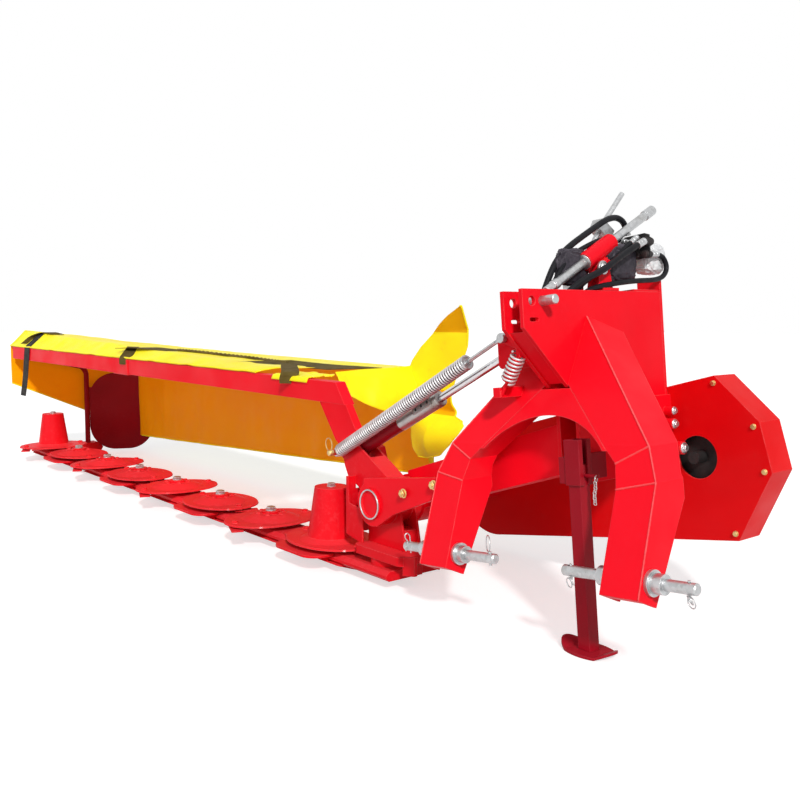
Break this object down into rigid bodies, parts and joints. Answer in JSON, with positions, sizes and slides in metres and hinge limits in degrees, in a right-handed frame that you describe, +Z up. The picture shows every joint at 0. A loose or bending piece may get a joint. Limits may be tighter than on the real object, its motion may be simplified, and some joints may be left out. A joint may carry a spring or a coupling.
{
  "type": "disc mower",
  "caption": "Rear-mounted side-cutting disc mower on a three-point headstock, with folding cutterbar, canvas guards, lift cylinder and parking stand.",
  "frame": {"origin": "on the ground under the middle of the machine's bounding box", "axes": "+X along the cutterbar towards the headstock, which is the tractor's left; +Y away from the tractor; +Z up"},
  "size_m": [4.4966, 0.8168, 1.2333],
  "materials": {
    "red_paint": "gloss",
    "dark_red_paint": "satin",
    "galvanised": "satin",
    "chromed": "polished",
    "yellow_canvas": "matte",
    "black_rubber": "matte",
    "pale_plastic": "matte"
  },
  "bodies": {
    "headstock": {"mast_plate_left": "red_paint", "mast_plate_right": "red_paint", "mast_front_plate": "red_paint", "mast_rear_plate": "red_paint", "top_link_pin": "galvanised", "hitch_arm_left": "red_paint", "hitch_arm_right": "red_paint", "hitch_web": "red_paint", "lower_link_pin_left": "galvanised", "lower_link_pin_right": "galvanised", "main_beam": "red_paint", "pivot_plate": "red_paint", "pivot_pin": "red_paint", "drive_tube": "red_paint", "belt_guard": "red_paint", "stand_socket": "red_paint", "cylinder_ears": "red_paint", "spring_lug": "red_paint", "short_spring": "galvanised", "adjuster_tube": "galvanised", "trunnion_sleeve": "red_paint", "valve_block": "galvanised", "couplings": "black_rubber", "valve_cover": "pale_plastic", "hoses": "black_rubber", "mast_tray": "red_paint", "guard_bracket": "red_paint"},
    "parking_stand": {"stand_leg": "red_paint", "stand_foot": "red_paint"},
    "input_shaft": {"input_shaft": "galvanised"},
    "cylinder_barrel": {"cylinder_barrel": "dark_red_paint"},
    "cylinder_rod": {"cylinder_rod": "chromed"},
    "balance_spring": {"balance_spring": "galvanised"},
    "spring_link": {"spring_link": "galvanised"},
    "disc_1": {"disc_1": "red_paint"},
    "disc_2": {"disc_2": "red_paint"},
    "disc_3": {"disc_3": "red_paint"},
    "disc_4": {"disc_4": "red_paint"},
    "disc_5": {"disc_5": "red_paint"},
    "disc_6": {"disc_6": "red_paint"},
    "disc_7": {"disc_7": "red_paint"},
    "disc_8": {"disc_8": "red_paint"},
    "cutting_unit": {"carrier": "red_paint", "carrier_bracket": "red_paint", "gearbox": "red_paint", "cutterbar": "red_paint", "skid_shoes": "dark_red_paint", "inner_shoe": "red_paint", "outer_shoe": "red_paint", "canopy_tube": "red_paint", "canopy_arm": "red_paint", "canopy_crosstube": "red_paint", "canopy_hoop": "dark_red_paint", "swath_board": "dark_red_paint", "canvas_top": "yellow_canvas", "canvas_rear": "yellow_canvas", "canvas_end": "yellow_canvas", "canvas_flap": "yellow_canvas", "canvas_gusset": "yellow_canvas", "canvas_straps": "black_rubber"}
  },
  "joints": [
    {"name": "cutterbar_fold", "type": "hinge", "parent": "headstock", "child": "cutting_unit", "pos_m": [1.03968, -0.16657, 0.26], "axis": [0, 1, 0], "range_deg": [-12, 88]},
    {"name": "cylinder_swing", "type": "hinge", "parent": "cutting_unit", "child": "cylinder_barrel", "pos_m": [0.87768, -0.16457, 0.412], "axis": [0, -1, 0], "range_deg": [-20, 110]},
    {"name": "cylinder_stroke", "type": "slide", "parent": "cylinder_barrel", "child": "cylinder_rod", "axis": [-0.8891, 0, -0.4576], "range_m": [-0.06, 0.31]},
    {"name": "spring_swing", "type": "hinge", "parent": "cutting_unit", "child": "balance_spring", "pos_m": [0.81568, -0.22257, 0.398], "axis": [0, -1, 0], "range_deg": [-20, 110]},
    {"name": "spring_stroke", "type": "slide", "parent": "balance_spring", "child": "spring_link", "axis": [-0.8823, 0, -0.4706], "range_m": [-0.06, 0.38]},
    {"name": "stand_slide", "type": "slide", "parent": "headstock", "child": "parking_stand", "axis": [-0.1045, 0, 0.9945], "range_m": [0, 0.1]},
    {"name": "disc_1_spin", "type": "hinge", "parent": "cutting_unit", "child": "disc_1", "pos_m": [0.74868, -0.20357, 0.08], "axis": [0, 0, 1], "continuous": true},
    {"name": "disc_2_spin", "type": "hinge", "parent": "cutting_unit", "child": "disc_2", "pos_m": [0.34868, -0.20357, 0.08], "axis": [0, 0, 1], "continuous": true},
    {"name": "disc_3_spin", "type": "hinge", "parent": "cutting_unit", "child": "disc_3", "pos_m": [-0.05132, -0.20357, 0.08], "axis": [0, 0, 1], "continuous": true},
    {"name": "disc_4_spin", "type": "hinge", "parent": "cutting_unit", "child": "disc_4", "pos_m": [-0.45132, -0.20357, 0.08], "axis": [0, 0, 1], "continuous": true},
    {"name": "disc_5_spin", "type": "hinge", "parent": "cutting_unit", "child": "disc_5", "pos_m": [-0.85132, -0.20357, 0.08], "axis": [0, 0, 1], "continuous": true},
    {"name": "disc_6_spin", "type": "hinge", "parent": "cutting_unit", "child": "disc_6", "pos_m": [-1.25132, -0.20357, 0.08], "axis": [0, 0, 1], "continuous": true},
    {"name": "disc_7_spin", "type": "hinge", "parent": "cutting_unit", "child": "disc_7", "pos_m": [-1.65132, -0.20357, 0.08], "axis": [0, 0, 1], "continuous": true},
    {"name": "disc_8_spin", "type": "hinge", "parent": "cutting_unit", "child": "disc_8", "pos_m": [-2.05132, -0.20357, 0.08], "axis": [0, 0, 1], "continuous": true},
    {"name": "input_spin", "type": "hinge", "parent": "headstock", "child": "input_shaft", "pos_m": [1.85808, 0.30143, 0.46165], "axis": [0, 1, 0], "continuous": true}
  ],
  "couplings": [
    {"joint": "cylinder_swing", "follows": "cutterbar_fold", "ratio": 1.14},
    {"joint": "cylinder_stroke", "follows": "cutterbar_fold", "m_per_rad": 0.19194},
    {"joint": "spring_swing", "follows": "cutterbar_fold", "ratio": 1.04},
    {"joint": "spring_stroke", "follows": "cutterbar_fold", "m_per_rad": 0.22918},
    {"joint": "disc_2_spin", "follows": "disc_1_spin", "ratio": -1},
    {"joint": "disc_3_spin", "follows": "disc_1_spin", "ratio": 1},
    {"joint": "disc_4_spin", "follows": "disc_1_spin", "ratio": -1},
    {"joint": "disc_5_spin", "follows": "disc_1_spin", "ratio": 1},
    {"joint": "disc_6_spin", "follows": "disc_1_spin", "ratio": -1},
    {"joint": "disc_7_spin", "follows": "disc_1_spin", "ratio": 1},
    {"joint": "disc_8_spin", "follows": "disc_1_spin", "ratio": -1},
    {"joint": "input_spin", "follows": "disc_1_spin", "ratio": 0.18}
  ]
}
